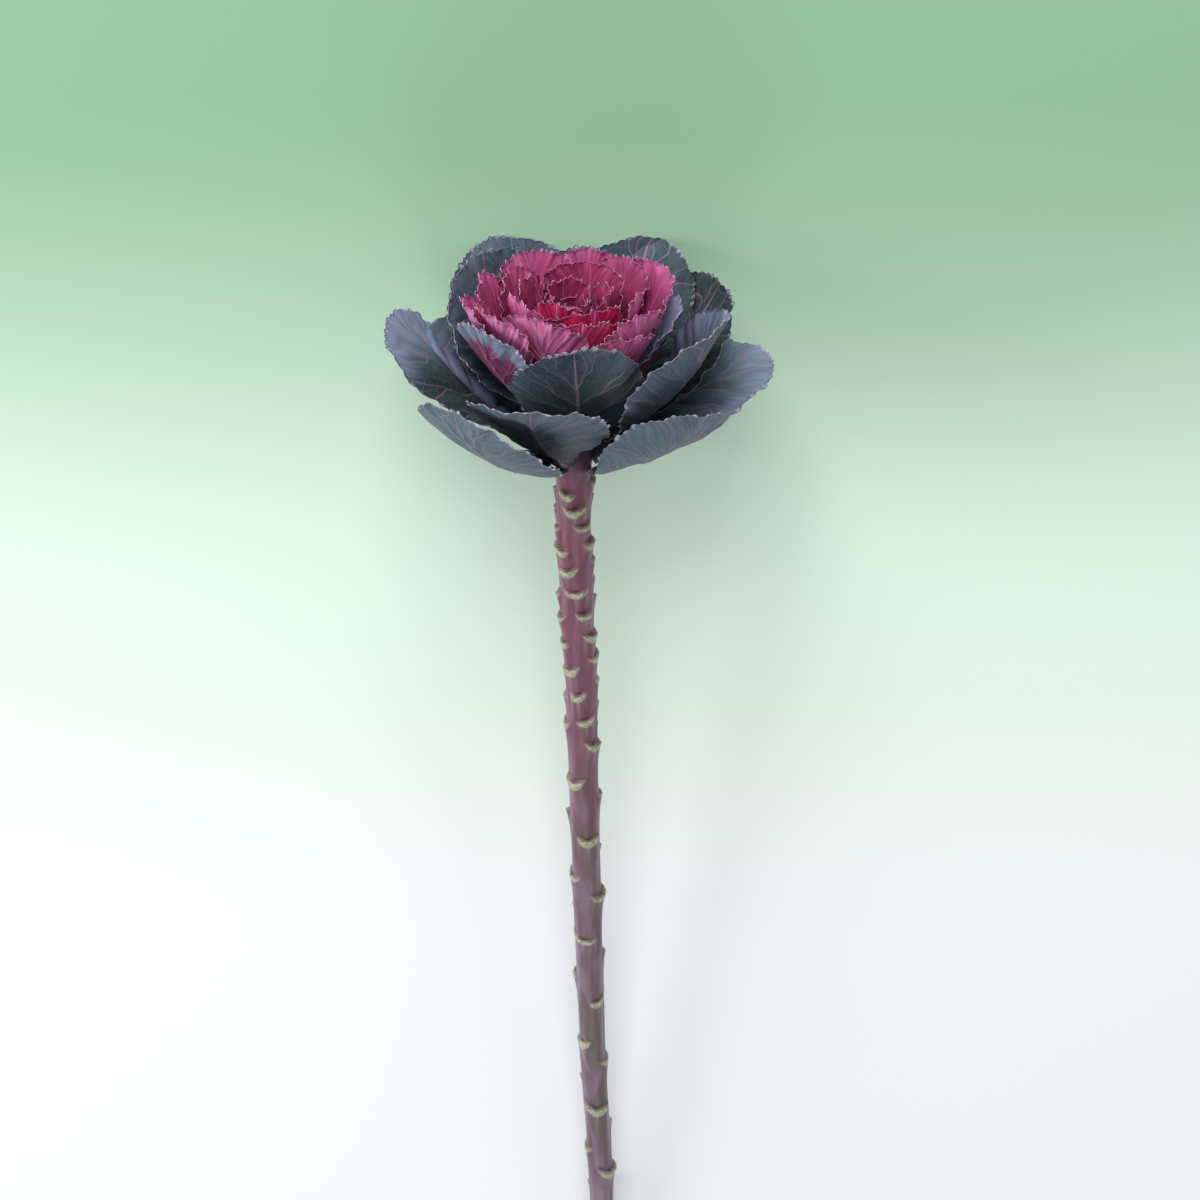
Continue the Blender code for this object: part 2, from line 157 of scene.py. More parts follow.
# Magenta leaves from the outer ring to the middle; glow is how much light comes through the leaf
HeartLeaf = namedtuple("HeartLeaf", "azimuth tip_radius tip_z half_width root_z glow")
HEART_LEAVES = tuple(HeartLeaf(*row) for row in (
    (190, 0.0445, 0.079, 0.018, 0.024, 0.2),
    (80, 0.0400, 0.082, 0.016, 0.024, 0.1),
    (303, 0.0420, 0.077, 0.017, 0.025, 0.5),
    (20, 0.0410, 0.084, 0.026, 0.025, 0.2),
    (164, 0.0400, 0.083, 0.013, 0.025, 0.2),
    (318, 0.0385, 0.082, 0.018, 0.026, 0.4),
    (122, 0.0365, 0.084, 0.019, 0.026, 0.2),
    (210, 0.0395, 0.081, 0.020, 0.027, 0.3),
    (48, 0.0350, 0.084, 0.015, 0.027, 0.2),
    (247, 0.0345, 0.083, 0.019, 0.028, 0.4),
    (278, 0.0340, 0.083, 0.017, 0.028, 0.9),
    (150, 0.0300, 0.084, 0.014, 0.029, 0.2),
    (340, 0.0290, 0.083, 0.012, 0.030, 0.3),
    (222, 0.0270, 0.084, 0.018, 0.031, 0.5),
    (293, 0.0240, 0.083, 0.016, 0.033, 1.0),
    (70, 0.0230, 0.084, 0.021, 0.033, 0.2),
    (160, 0.0210, 0.084, 0.009, 0.034, 0.3),
    (250, 0.0170, 0.083, 0.012, 0.036, 1.0),
    (0, 0.0150, 0.083, 0.011, 0.037, 0.4),
    (110, 0.0110, 0.082, 0.013, 0.038, 0.3),
    (200, 0.0090, 0.079, 0.008, 0.040, 0.6),
    (320, 0.0070, 0.078, 0.007, 0.042, 0.5),
    (70, 0.0045, 0.077, 0.006, 0.044, 0.4),
    (230, 0.0030, 0.075, 0.005, 0.045, 0.4),
))


def paint(code):
    """An sRGB hex colour such as #33474A as the linear colour and alpha that Blender works in."""
    channels = np.array([int(code[start:start + 2], 16) for start in (1, 3, 5)]) / 255.0
    linear = np.where(channels <= 0.04045, channels / 12.92, ((channels + 0.055) / 1.055) ** 2.4)
    return (*linear.tolist(), 1.0)


def set_inputs(tree, node, inputs):
    """Link a node's inputs to sockets, or set them to values."""
    for key, value in inputs.items():
        if isinstance(value, bpy.types.NodeSocket):
            tree.links.new(value, node.inputs[key])
        else:
            node.inputs[key].default_value = value


def add(tree, kind, inputs=None, output=0, **settings):
    """Add a shader node, set its properties, set or link its inputs, and return one of its outputs."""
    node = tree.nodes.new("ShaderNode" + kind)
    for name, value in settings.items():
        setattr(node, name, value)
    set_inputs(tree, node, inputs or {})
    return node.outputs[output]


def new_material(name, *attributes):
    """A material, the function that adds nodes to it, and the mesh attributes that it reads by name."""
    material = bpy.data.materials.new(name)
    material.use_nodes = True
    node = partial(add, material.node_tree)
    return material, node, {key: node("Attribute", output="Fac", attribute_name=key) for key in attributes}


def set_finish(material, inputs):
    """Set or link the inputs of a material's shader."""
    set_inputs(material.node_tree, material.node_tree.nodes["Principled BSDF"], inputs)


def ease(value, low, high):
    """0 below low, 1 above high and a smooth S between them, in either order."""
    share = np.clip((value - low) / (high - low), 0.0, 1.0)
    return share * share * (3.0 - 2.0 * share)


def lay_down(points):
    """Turn points of the upright plant to where they lie: up the stem to +Y, away from the viewer down."""
    x, y, z = points[..., 0], points[..., 1], points[..., 2]
    return np.stack([
        x + PLACE_X,
        y * math.sin(LEAN) + z * math.cos(LEAN) + PLACE_Y,
        z * math.sin(LEAN) - y * math.cos(LEAN) + LIFT,
    ], axis=-1)


def rest_on_floor(points, half):
    """Flatten what is within the press height of the floor onto it, and ease what is just above it."""
    height = points[..., 2] - half
    pressed = np.clip((height - PRESS_HEIGHT) * 1.5, 0.0, None)
    points[..., 2] = half + np.where(height < 3.0 * PRESS_HEIGHT, pressed, height)
    return points


def blade_outline(t, rho, widest):
    """Where a blade's grid points lie on the flat leaf, as shares of half width and length.

    t runs along the margin, from the foot of one side (-1) over the tip (0) to the foot of the other
    (1). rho runs along a side vein, from the midrib (0) to the margin (1). The upper part of the
    margin is a quarter ellipse and the lower part narrows smoothly to the petiole.
    """
    share = np.abs(t)
    angle = np.minimum(share, 0.5) * np.pi
    fall = np.clip((share - 0.5) / 0.5, 0.0, 1.0)
    margin_x = np.where(share < 0.5, np.sin(angle), 1.0 + (PETIOLE_SHARE - 1.0) * ease(fall, 0.0, 1.0))
    margin_y = np.where(share < 0.5, widest + (1.0 - widest) * np.cos(angle), widest * (1.0 - fall))
    foot_y = VEIN_SLANT * (1.0 - share)
    return np.sign(t) * rho * margin_x, foot_y + rho * (margin_y - foot_y)


def midrib(leaf, root_radius, steps=80):
    """Points and frames along the midrib: its rise turns evenly from root to tip, with a side bend."""
    azimuth = math.radians(leaf.azimuth)
    outward = np.array([math.cos(azimuth), math.sin(azimuth), 0.0])
    sideways = np.array([-math.sin(azimuth), math.cos(azimuth), 0.0])
    upward = np.array([0.0, 0.0, 1.0])
    along = np.linspace(0.0, 1.1, steps + 1)[:, None]
    rise = np.radians(leaf.rise_root + (leaf.rise_tip - leaf.rise_root) * along)
    bend = np.radians(leaf.bend * along)
    twist = np.radians(leaf.twist + leaf.twist_more * along)
    ahead = np.cos(rise) * outward + np.sin(rise) * upward
    tangent = np.cos(bend) * ahead + np.sin(bend) * sideways
    lateral = np.cos(bend) * sideways - np.sin(bend) * ahead
    inner = np.cross(tangent, lateral)
    step = (tangent[1:] + tangent[:-1]) * 0.5 * (along[1] - along[0]) * leaf.length
    start = outward * root_radius + upward * leaf.root_z
    line = start + np.vstack([np.zeros(3), np.cumsum(step, axis=0)])
    across = lateral * np.cos(twist) + inner * np.sin(twist)
    inward = inner * np.cos(twist) - lateral * np.sin(twist)
    return along[:, 0], line, across, inward


def blade_points(leaf, root_radius, form, phase, t, rho, stretch=0.0):
    """The middle surface of a blade: the flat outline bent over its midrib, cupped and waved.

    A point lies on the midrib's curve at its height, plus the sine of the cup angle across, plus one
    less its cosine inwards, plus long waves that grow towards the margin. stretch lengthens each side
    vein near the margin, by that share of itself.
    """
    reach = rho * (1.0 + stretch * rho ** 8)
    across, along = blade_outline(t, reach, form.widest)
    steps, line, across_dir, inward_dir = midrib(leaf, root_radius)
    curl = leaf.cup * (form.foot_curl + (1.0 - form.foot_curl) * along)
    curl = np.where(np.abs(curl) < 1e-4, 1e-4, curl)
    aside = np.sin(curl * across) / curl * leaf.half_width
    lift = (1.0 - np.cos(curl * across)) / curl * leaf.half_width
    lift = lift + form.wave * rho ** 2.5 * np.sin(form.waves * np.pi * t + phase)

    def read(table):
        return np.stack([np.interp(along, steps, table[:, axis]) for axis in range(3)], axis=-1)

    return read(line) + read(across_dir) * aside[..., None] + read(inward_dir) * lift[..., None]


def outward_normals(points):
    """Unit normals of a blade's grid that point away from the plant's axis.

    They are the cross product of the steps along t and along rho. On the midrib, where both halves
    meet, they are the mean of the two halves' first column.
    """
    normals = np.cross(np.gradient(points, axis=0), np.gradient(points, axis=1))
    normals[:, 0] = normals[:, 1] + normals[::-1, 1]
    return normals / (np.linalg.norm(normals, axis=-1, keepdims=True) + 1e-12)


def soften(field, passes):
    """Smooth a field over a blade's grid: each pass takes the mean of each point and its neighbours."""
    for _ in range(passes):
        padded = np.pad(field, ((1, 1), (1, 1), (0, 0)), mode="edge")
        field = (padded[2:, 1:-1] + padded[:-2, 1:-1] + padded[1:-1, 2:] + padded[1:-1, :-2]
                 + 2.0 * padded[1:-1, 1:-1]) / 6.0
    return field


def press_clear(points, inner, clearance, reach, passes=6):
    """Bend a blade outwards wherever it would cut a blade that grows inside it.

    Each point is set against the nearest sample of each inner blade. Where it lies closer than the
    clearance in front of that sample's outward normal, it is moved out along it, and its neighbours
    follow with six tenths of the move.
    """
    shape = points.shape
    low = points.reshape(-1, 3).min(axis=0) - reach
    high = points.reshape(-1, 3).max(axis=0) + reach
    near = []
    for spots, normals in inner:
        close = np.all((spots > low) & (spots < high), axis=1)
        if close.any():
            near.append((spots[close].astype(np.float32), normals[close]))
    for _ in range(passes):
        flat = points.reshape(-1, 3)
        light = flat.astype(np.float32)
        move = np.zeros_like(flat)
        size = np.zeros(len(flat))
        for spots, normals in near:
            nearest = ((spots ** 2).sum(axis=1)[None, :] - 2.0 * light @ spots.T).argmin(axis=1)
            apart = flat - spots[nearest]
            normal = normals[nearest]
            depth = (apart * normal).sum(axis=1)
            aside = np.linalg.norm(apart - depth[:, None] * normal, axis=1)
            need = np.where((aside < SIDE_REACH) & (np.abs(depth) < reach), clearance - depth, 0.0)
            better = need > size
            size[better] = need[better]
            move[better] = normal[better] * need[better, None]
        move = move.reshape(shape)
        shared = soften(move, 1) * 0.9
        longer = np.linalg.norm(shared, axis=-1) > np.linalg.norm(move, axis=-1)
        points = leave_stem(points + np.where(longer[..., None], shared, move))
    return points


def leave_stem(points):
    """Move points that were bent into the stem back out to where the leaves start."""
    radius = np.linalg.norm(points[..., :2], axis=-1)
    inside = (points[..., 2] < CROWN_TOP + CLEARANCE) & (radius < ROOT_RADIUS)
    scale = np.where(inside, ROOT_RADIUS / np.maximum(radius, 1e-6), 1.0)
    return np.concatenate([points[..., :2] * scale[..., None], points[..., 2:]], axis=-1)


def column_places(columns):
    """Where the fine grid's columns lie between midrib and margin: closer together near the margin."""
    return np.linspace(0.0, 1.0, columns) ** 0.75


def spread(field, coarse_t, coarse_rho, t, rho):
    """Read a field on a blade's coarse grid at its fine grid, straight between the coarse points."""
    def weights(coarse, fine):
        spacing = coarse[1] - coarse[0]
        return np.clip(1.0 - np.abs(fine[:, None] - coarse[None, :]) / spacing, 0.0, 1.0)
    rows = np.tensordot(weights(coarse_t, t), field, axes=(1, 0))
    return np.tensordot(weights(coarse_rho, rho), rows, axes=(1, 1)).transpose(1, 0, 2)


# A finished middle surface with what its material needs: all arrays are rows by columns of the grid
Blade = namedtuple("Blade", "leaf form points edge tooth vein_t flat_x flat_y along")


def grow_blade(leaf, root_radius, form, phase, placed, clearance, reach, tooth_depth, seed):
    """Work out a blade's middle surface, bent clear of the placed ones, with teeth and ruffles.

    Teeth lie along the margin with a random height each: triangles where the form's tooth shape is 1,
    rounder above it. Ruffles are two sines of the margin's length, of random phase, along the normal,
    that grow with the sixth power of rho. Between side veins the blade bulges to its upper face, the
    more the flatter the leaf is.
    """
    rng = np.random.default_rng(seed)
    coarse_t = np.linspace(-1.0, 1.0, COARSE_ROWS)
    coarse_rho = np.linspace(0.0, 1.0, COARSE_COLUMNS)
    rough = blade_points(leaf, root_radius, form, phase, coarse_t[:, None], coarse_rho[None, :])
    pressed = soften(press_clear(rough, placed, clearance, reach) - rough, 1)

    t = np.linspace(-1.0, 1.0, form.rows)
    rho = column_places(form.columns)
    grid_t, grid_rho = t[:, None], rho[None, :]
    across, along = blade_outline(grid_t, grid_rho, form.widest)
    flat_x = across * leaf.half_width
    flat_y = along * leaf.length
    vein_length = np.hypot(flat_x[:, -1] - flat_x[:, 0], flat_y[:, -1] - flat_y[:, 0])
    margin_step = np.hypot(np.diff(flat_x[:, -1]), np.diff(flat_y[:, -1]))
    arc = np.concatenate([[0.0], np.cumsum(margin_step)])

    gap = form.tooth_gap
    place = arc / gap + 0.5 * np.sin(arc / gap * 0.37 + rng.uniform(0.0, 6.0))
    height = rng.uniform(0.35, 1.15, int(place.max()) + 3)[np.floor(place).astype(int) + 1]
    peak = 1.0 - np.abs(2.0 * (place - np.floor(place)) - 1.0)
    tooth = height * (1.0 - (1.0 - peak) ** form.tooth_shape) * ease(np.abs(t), 0.90, 0.70)
    stretch = (tooth_depth * tooth / vein_length)[:, None]
    points = blade_points(leaf, root_radius, form, phase, grid_t, grid_rho, stretch)
    points = points + soften(spread(pressed, coarse_t, coarse_rho, t, rho), 4)

    turn = rng.uniform(0.0, 2.0 * math.pi, 4)
    ruffle = np.sin(2.0 * np.pi * arc / form.ruffle_length + turn[0] + 1.5 * np.sin(arc / 0.02 + turn[1]))
    ruffle = ruffle + 0.5 * np.sin(2.0 * np.pi * arc / form.ruffle_length * 2.3 + turn[2])
    ruffle = form.ruffle * ruffle[:, None] * grid_rho ** 6
    warp = 0.030 * np.sin(9.0 * grid_t + turn[0]) + 0.016 * np.sin(5.0 * grid_rho + 23.0 * grid_t + turn[1])
    warp = warp + 0.008 * np.sin(14.0 * grid_rho + 17.0 * grid_t + turn[2])
    vein_t = grid_t + form.sway * warp * np.minimum(grid_rho * 4.0, 1.0)
    vein_t = vein_t - 0.05 * np.sin(np.pi * grid_t) * grid_rho ** 2
    pillow = form.pillow * min(1.4, max(0.3, 1.2 - leaf.cup))
    bulge = pillow * (1.0 - vein_line(vein_t, grid_rho, form.veins, 0.22))
    bulge = bulge * ease(grid_rho, 0.02, 0.2) * ease(grid_rho, 1.0, 0.8)
    points = points + outward_normals(points) * (ruffle - bulge)[..., None]
    placed.append(samples(points))
    edge = (1.0 - grid_rho) * vein_length[:, None]
    return Blade(leaf, form, points, edge, tooth[:, None] * grid_rho ** 12, vein_t, flat_x, flat_y, along)


def vein_line(vein_t, rho, count, width):
    """1 on a side vein and 0 away from it: each vein forks in two beyond FORK_START of its length."""
    cell = vein_t * count
    offset = np.abs(cell - np.floor(cell) - 0.5)
    fork = FORK_SPREAD * np.clip(rho - FORK_START, 0.0, 1.0)
    return np.exp(-((offset - fork) / width) ** 2)


def samples(points):
    """A placed blade as what the next ones are kept clear of: every few grid points, with normals."""
    normals = outward_normals(points)
    rows = max(1, len(points) // 50)
    columns = max(1, points.shape[1] // 7)
    return points[::rows, ::columns].reshape(-1, 3), normals[::rows, ::columns].reshape(-1, 3)


def heart_root_radius(row):
    """The inner leaves grow nearer to the axis, so that they nest in the outer ones."""
    return HEART_ROOT_LEAST + HEART_ROOT_SHARE * row.tip_radius


def heart_blade(row):
    """A magenta leaf as a leaf that bows outwards on its way from its root to its tip."""
    out = row.tip_radius - heart_root_radius(row)
    up = row.tip_z - row.root_z
    slope = math.degrees(math.atan2(up, out))
    length = math.hypot(out, up) * math.radians(HEART_BOW) / math.sin(math.radians(HEART_BOW))
    cup = min(1.4, max(0.45, row.half_width / row.tip_radius))
    return Leaf("heart", row.azimuth, length, row.half_width, slope - HEART_BOW, slope + HEART_BOW,
                cup, 0.0, 0.0, 0.0, row.root_z)


def grow_head(sizes):
    """Every blade of the head by name, grown from the middle outwards, each clear of those inside it."""
    placed = []
    head = {"heart": []}
    for index in reversed(range(len(HEART_LEAVES))):
        row = HEART_LEAVES[index]
        blade = grow_blade(heart_blade(row), heart_root_radius(row), HEART_FORM, index * 1.7, placed,
                           HEART_CLEARANCE, HEART_REACH, sizes.heart_tooth, 100 + index)
        head["heart"].append((row, blade))
    for index, leaf in enumerate(TWO_TONE_LEAVES):
        head[leaf.name] = grow_blade(leaf, TWO_TONE_ROOT_RADIUS, TWO_TONE_FORM, index * 2.1, placed,
                                     HEART_CLEARANCE, REACH, sizes.heart_tooth, 200 + index)
    for index, leaf in enumerate(GREEN_LEAVES):
        head[leaf.name] = grow_blade(leaf, ROOT_RADIUS, GREEN_FORM, index * 1.3, placed,
                                     CLEARANCE, REACH, sizes.green_tooth, 300 + index)
    return head


def place_object(name, data):
    """Put a mesh, a light or a camera into the scene."""
    item = bpy.data.objects.new(name, data)
    bpy.context.scene.collection.objects.link(item)
    return item


def grid_cells(grid):
    """The four corners of each cell of a grid of point numbers."""
    corners = (grid[:-1, :-1], grid[1:, :-1], grid[1:, 1:], grid[:-1, 1:])
    return np.stack(corners, axis=-1).reshape(-1, 4)


def grid_rim(grid):
    """The point numbers of a grid along its first row, its last column and back along its last row."""
    return np.concatenate([grid[0, :-1], grid[:, -1], grid[-1, :-1][::-1]])


# A closed surface: its corner points, its faces, and its UV maps and attributes by name
Shell = namedtuple("Shell", "points faces uvs values")


def blade_shell(blade, thickness, rib_height, tints):
    """A closed shell round a blade's middle surface, as corner points, faces, UV maps and attributes.

    Each face lies half the thickness off the middle surface. The under face also has the midrib, a
    round ridge that narrows to the tip, and the side veins, which the upper face has as grooves. The
    two faces are joined along the margin and the foot. tints gives attributes of the blade for the
    upper and for the under face.
    """
    rows, columns = blade.points.shape[:2]
    grid_rho = column_places(columns)[None, :]
    out = outward_normals(blade.points)
    half = 0.5 * thickness * (0.35 + 0.65 * ease(blade.edge, 0.0, 0.006))
    veins = vein_line(blade.vein_t, grid_rho, blade.form.veins, 0.09) * ease(grid_rho, 1.0, 0.85)
    fade = np.clip(1.0 - blade.along, 0.0, 1.0)
    rib_width = 0.0006 + 0.0022 * fade
    rib = rib_height * fade ** 0.8 * np.exp(-(blade.flat_x / rib_width) ** 2)
    relief = blade.form.vein_relief * veins * (1.0 - 0.6 * grid_rho)
    under = lay_down(blade.points + out * (half + relief + rib)[..., None])
    upper = lay_down(blade.points - out * (half - 0.8 * relief - 0.25 * rib)[..., None])
    under = rest_on_floor(under, 0.0)
    upper = rest_on_floor(upper, thickness)

    corner = np.arange(rows * columns).reshape(rows, columns)
    index = corner.copy()
    middle = rows // 2
    index[middle + 1:, 0] = index[:middle, 0][::-1]
    quads, spots = grid_cells(index), grid_cells(corner)
    rim, rim_spot = grid_rim(index), grid_rim(corner)
    offset = rows * columns
    wall = np.stack([rim[:-1], rim[1:], rim[1:] + offset, rim[:-1] + offset], axis=-1)
    wall_spot = np.stack([rim_spot[:-1], rim_spot[1:], rim_spot[1:], rim_spot[:-1]], axis=-1)
    faces = np.concatenate([quads, quads[:, ::-1] + offset, wall[:, ::-1]])
    face_spots = np.concatenate([spots, spots[:, ::-1], wall_spot[:, ::-1]])

    vein_uv = np.stack(np.broadcast_arrays(blade.vein_t, grid_rho), axis=-1).reshape(-1, 2)
    flat_uv = np.stack([blade.flat_x, blade.flat_y], axis=-1).reshape(-1, 2)
    tints = {**tints, "edge": (blade.edge / MM,) * 2, "tooth": (blade.tooth,) * 2,
             "along": (blade.along,) * 2, "upper": (1.0, 0.0)}
    values = {}
    for name, (upper_value, under_value) in tints.items():
        pair = [np.broadcast_to(value, (rows, columns)).ravel() for value in (under_value, upper_value)]
        values[name] = np.concatenate(pair)
    points = np.concatenate([under.reshape(-1, 3), upper.reshape(-1, 3)])
    return Shell(points, faces, {"veins": vein_uv[face_spots], "flat": flat_uv[face_spots]}, values)


def join_shells(shells):
    """Several shells as one, each keeping its own points."""
    starts = np.cumsum([0] + [len(shell.points) for shell in shells[:-1]])
    return Shell(
        np.concatenate([shell.points for shell in shells]),
        np.concatenate([shell.faces + start for shell, start in zip(shells, starts)]),
        {name: np.concatenate([shell.uvs[name] for shell in shells]) for name in shells[0].uvs},
        {name: np.concatenate([shell.values[name] for shell in shells]) for name in shells[0].values},
    )


def make_piece(name, shell, material, slot, *nodes):
    """Put a shell into a mesh, ride it on the plant's body and let it stand for its CAD nodes."""
    used = np.unique(shell.faces)
    place = np.zeros(len(shell.points), dtype=np.int32)
    place[used] = np.arange(len(used))
    faces = place[shell.faces]
    mesh = bpy.data.meshes.new(name)
    mesh.vertices.add(len(used))
    mesh.vertices.foreach_set("co", shell.points[used].astype(np.float32).ravel())
    mesh.loops.add(faces.size)
    mesh.loops.foreach_set("vertex_index", faces.astype(np.int32).ravel())
    mesh.polygons.add(len(faces))
    mesh.polygons.foreach_set("loop_start", np.arange(0, faces.size, 4, dtype=np.int32))
    mesh.polygons.foreach_set("use_smooth", np.ones(len(faces), dtype=bool))
    for uv_name, coordinates in shell.uvs.items():
        layer = mesh.uv_layers.new(name=uv_name)
        layer.data.foreach_set("uv", coordinates.astype(np.float32).ravel())
    for value_name, values in shell.values.items():
        layer = mesh.attributes.new(value_name, "FLOAT", "POINT")
        layer.data.foreach_set("value", values[used].astype(np.float32))
    mesh.update()
    mesh.validate()
    mesh.materials.append(material)
    piece = place_object(name, mesh)
    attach(piece, "root")
    if nodes:
        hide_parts(*nodes)
    return piece


def stem_centre(z):
    """The stem's centre line: it sways to one side below the head, with a slow wobble."""
    down = np.clip(-z - STEM_STRAIGHT, 0.0, None) / (STEM_LENGTH - STEM_STRAIGHT)
    return STEM_SWAY * down + STEM_WOBBLE * np.sin(down * STEM_WOBBLE_RATE) * down


def stem_radius(z):
    """The stem tapers from the head to its cut; above the crown it narrows to the heart's core."""
    share = np.minimum((z + STEM_LENGTH) / (STEM_LENGTH + CROWN_TOP), 1.0)
    radius = STEM_CUT_RADIUS + (STEM_TOP_RADIUS - STEM_CUT_RADIUS) * share
    return radius - 0.0025 * ease(z, CROWN_TOP, CORE_TOP)


def turn_from(theta, turn):
    """The angle from a direction round the stem, at most half a turn to either side."""
    return np.mod(theta - turn + np.pi, 2.0 * np.pi) - np.pi


def scar_relief(z, theta, radius, scar_height):
    """How far the leaf scars stand out of the stem, with masks for its colours.

    A scar is a cushion whose upper edge is a smile. Height is the full one just under that edge, falls
    off as an exponential down the stem and drops sharply above it, into a hollow where the bud sits.
    Its width is a flat-topped bell round the stem. The face is a crescent along the edge, with a waxy
    rim under it, and a fine ridge runs down the stem from its middle. High on the stem, one more lies
    between two of the scars that the solid stem has; low on it, the scars reach further round.
    """
    rng = np.random.default_rng(7)
    height = np.zeros_like(theta + z)
    face, hollow, rim = (np.zeros_like(height) for _ in range(3))
    for index in range(2 * SCAR_COUNT - 1):
        share = index / (2 * SCAR_COUNT - 2)
        if index % 2 and share > EXTRA_SCARS_END:
            continue
        scar_z = SCAR_TOP - SCAR_SPAN * share * (1.0 - SCAR_CROWDING * (1.0 - share))
        turn = math.radians(index * 0.5 * SCAR_TURN + index % 2 * 180.0)
        half_width, rise, lean, deep = rng.uniform((0.0030, 0.8, -0.3, 1.4), (0.0052, 1.6, 0.3, 3.2))
        half_width *= 0.95 + 0.45 * share
        deep *= 1.0 + 0.5 * share
        aside = turn_from(theta, turn) * radius
        above = z - scar_z - 60.0 * rise * aside ** 2 - lean * aside
        across = aside / half_width
        wide = np.exp(-across ** 6)
        ramp = np.where(above > 0.0, np.exp(-(above / 0.0005) ** 2), np.exp(above / 0.0070))
        height = np.maximum(height, scar_height * rise * wide * ramp)
        depth = deep * MM * np.clip(1.0 - 0.8 * across ** 2, 0.0, 1.0)
        lip = ease(above, 0.0004, 0.0) * ease(above, -depth, -depth + 0.0003)
        face = np.maximum(face, wide * lip)
        rim = np.maximum(rim, wide * np.exp(-((above + depth) / 0.0003) ** 2))
        ridge = np.exp(-(aside / 0.0006) ** 2) * ease(above, -depth, -depth - 0.001) * np.exp(above / 0.006)
        height += 0.00025 * ridge
        rim = np.maximum(rim, 0.7 * ridge)
        bud = np.exp(-((aside / 0.0021) ** 2 + ((above - 0.0010) / 0.0009) ** 2))
        height -= 0.0007 * bud
        hollow = np.maximum(hollow, bud)
    return height, face, hollow, rim


def leaf_bases(z, theta):
    """How far the feet of the green leaves stand out of the crown, and where they colour it.

    Each foot is a ridge under its leaf: a bell round the stem, full at the leaf's root and fading as
    an exponential below it.
    """
    base = np.zeros_like(theta + z)
    for leaf in GREEN_LEAVES:
        aside = turn_from(theta, math.radians(leaf.azimuth)) * STEM_TOP_RADIUS
        below = np.clip(leaf.root_z - z, 0.0, None)
        above = np.clip(z - leaf.root_z, 0.0, None)
        base = np.maximum(base, np.exp(-(aside / 0.0042) ** 4 - below / 0.0045 - (above / 0.003) ** 2))
    return base


def close_ring(ring):
    """Four-cornered strips that close a ring of point numbers."""
    step = np.arange(len(ring) // 2 - 1)
    return np.stack([ring[step], ring[-1 - step], ring[-2 - step], ring[step + 1]], axis=-1)


def stem_shell(sizes):
    """The stem as a closed round grid: a radius round a centre line, with scars and slow ridges.

    Rows run from the middle of the cut face over its rim and up the stem to the heart's core; the
    first and last ring are closed by strips.
    """
    columns = STEM_COLUMNS
    rings = np.array([0.05, 0.2, 0.35, 0.5, 0.62, 0.74, 0.84, 0.92, 0.97])
    wall = np.arange(-STEM_LENGTH + 0.5 * STEM_ROW, CORE_TOP, STEM_ROW)
    z = np.concatenate([np.full(len(rings), -STEM_LENGTH), wall, [CORE_TOP, CORE_TOP]])[:, None]
    scale = np.concatenate([rings, np.ones(len(wall)), [0.7, 0.05]])[:, None]
    theta = np.linspace(0.0, 2.0 * np.pi, columns + 1)[None, :-1]
    radius = stem_radius(z)
    height, face, hollow, rim = scar_relief(z, theta, radius, sizes.scar_height)
    ridges = 0.00018 * np.sin(3.0 * theta + z * 40.0) + 0.00012 * np.sin(7.0 * theta - z * 65.0)
    base = leaf_bases(z, theta)
    width = scale * (radius + height + 0.0016 * base + ridges * ease(z, CROWN_TOP, 0.0))
    points = np.stack([
        stem_centre(z) + width * np.cos(theta),
        width * np.sin(theta),
        z + 0.0 * theta,
    ], axis=-1)
    points = lay_down(points)
    points[..., 2] = np.maximum(points[..., 2], 0.0)
    rows = len(z)
    index = np.arange(rows * columns).reshape(rows, columns)
    after = np.roll(index, -1, axis=1)
    walls = np.stack([index[:-1], after[:-1], after[1:], index[1:]], axis=-1).reshape(-1, 4)
    faces = np.concatenate([walls, close_ring(index[0]), close_ring(index[-1])[:, [0, 3, 2, 1]]])
    skin = np.stack(np.broadcast_arrays(theta * STEM_TOP_RADIUS, z), axis=-1).reshape(-1, 2)
    values = {
        "face": face, "hollow": hollow, "rim": rim, "ring": scale,
        "cut": np.where(np.arange(rows) < len(rings), 1.0, 0.0)[:, None],
        "down": ease(z, -0.02, -0.34),
        "base": np.maximum(base, ease(z, -0.004, 0.008)),
    }
    values = {name: np.broadcast_to(value, (rows, columns)).ravel() for name, value in values.items()}
    return Shell(points.reshape(-1, 3), faces, {"skin": skin[faces]}, values)


# Colours of a kind of leaf: the tissue, what lies on it, and its lines. The flush colour is purple at the
# foot with painted shade deep in the head; glow is painted light that comes through the heart's leaves and
# the own magenta of the two-tone leaves. The two-tone bloom is paler partly as painted light, for leaves
# that lie in shade.
Palette = namedtuple("Palette", "deep light bloom wax flush glow vein_upper vein_under edge tip")
GREEN_PALETTE = Palette("#223438", "#36494D", "#8086A8", "#6C8496", "#291A29", "#B0265C",
                        "#98768A", "#8A7484", "#8F8CA0", "#B9B6C4")
TWO_TONE_PALETTE = Palette("#2F4049", "#404F60", "#B8CCEC", "#88A6BC", "#221019", "#6C2A4E",
                           "#A07A9A", "#9C6A8C", "#B498B8", "#DCC0D2")
HEART_PALETTE = Palette("#962C5C", "#AC4072", "#D07EB6", "#CC88B8", "#4E1834", "#D22062",
                        "#B8588A", "#D492BC", "#D686AE", "#F6D0E0")


